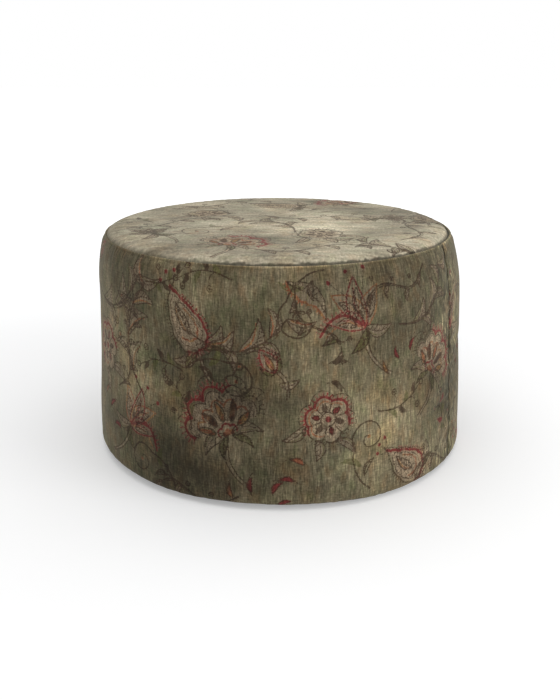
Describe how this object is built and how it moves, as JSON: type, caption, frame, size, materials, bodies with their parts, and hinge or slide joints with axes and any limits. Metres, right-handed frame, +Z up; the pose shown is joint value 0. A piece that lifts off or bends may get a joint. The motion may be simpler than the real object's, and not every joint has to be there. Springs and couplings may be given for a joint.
{
  "type": "tuffet",
  "caption": "Round upholstered drum footstool with a sewn flat-topped cover in a floral print over a foam seat, webbing and a plywood and timber frame.",
  "frame": {"origin": "on the floor, under the middle of the seat", "axes": "+Z up along the axis of the drum, +X to the right and -Y to the front as the picture shows it"},
  "size_m": [0.6, 0.6, 0.36],
  "materials": {
    "cover_fabric": "napped chenille-like upholstery cloth in mottled grey olive, with a printed floral in crimson, rust, dark brown and olive green",
    "plywood": "sanded plywood, unfinished, plies showing at the edges",
    "timber": "planed softwood, unfinished",
    "hardboard": "smooth brown hardboard, matte",
    "foam": "open-cell polyurethane foam, matte",
    "wadding": "white polyester wadding, fibrous and matte",
    "jute_webbing": "woven jute webbing with darker edge stripes",
    "hessian": "plain-woven hessian",
    "dust_cloth": "black non-woven cloth, matte",
    "glide_plastic": "moulded brown polypropylene, satin",
    "screw_steel": "zinc-plated steel, satin"
  },
  "bodies": {
    "root": {"base_ring": "plywood", "top_ring": "plywood", "post_1": "timber", "post_2": "timber", "post_3": "timber", "post_4": "timber", "post_5": "timber", "post_6": "timber", "top_screw_1": "screw_steel", "top_screw_2": "screw_steel", "top_screw_3": "screw_steel", "top_screw_4": "screw_steel", "top_screw_5": "screw_steel", "top_screw_6": "screw_steel", "base_screw_1": "screw_steel", "base_screw_2": "screw_steel", "base_screw_3": "screw_steel", "base_screw_4": "screw_steel", "base_screw_5": "screw_steel", "base_screw_6": "screw_steel", "side_board": "hardboard", "webbing_across_1": "jute_webbing", "webbing_across_2": "jute_webbing", "webbing_across_3": "jute_webbing", "webbing_across_4": "jute_webbing", "webbing_along_1": "jute_webbing", "webbing_along_2": "jute_webbing", "webbing_along_3": "jute_webbing", "webbing_along_4": "jute_webbing", "platform_cloth": "hessian", "dust_cover": "dust_cloth", "side_padding": "wadding", "seat_foam": "foam", "seat_wadding": "wadding", "top_panel": "cover_fabric", "side_panel_front": "cover_fabric", "side_panel_back": "cover_fabric", "glide_1": "glide_plastic", "glide_2": "glide_plastic", "glide_3": "glide_plastic", "glide_4": "glide_plastic", "glide_5": "glide_plastic", "glide_6": "glide_plastic", "glide_screw_1": "screw_steel", "glide_screw_2": "screw_steel", "glide_screw_3": "screw_steel", "glide_screw_4": "screw_steel", "glide_screw_5": "screw_steel", "glide_screw_6": "screw_steel"}
  },
  "joints": []
}
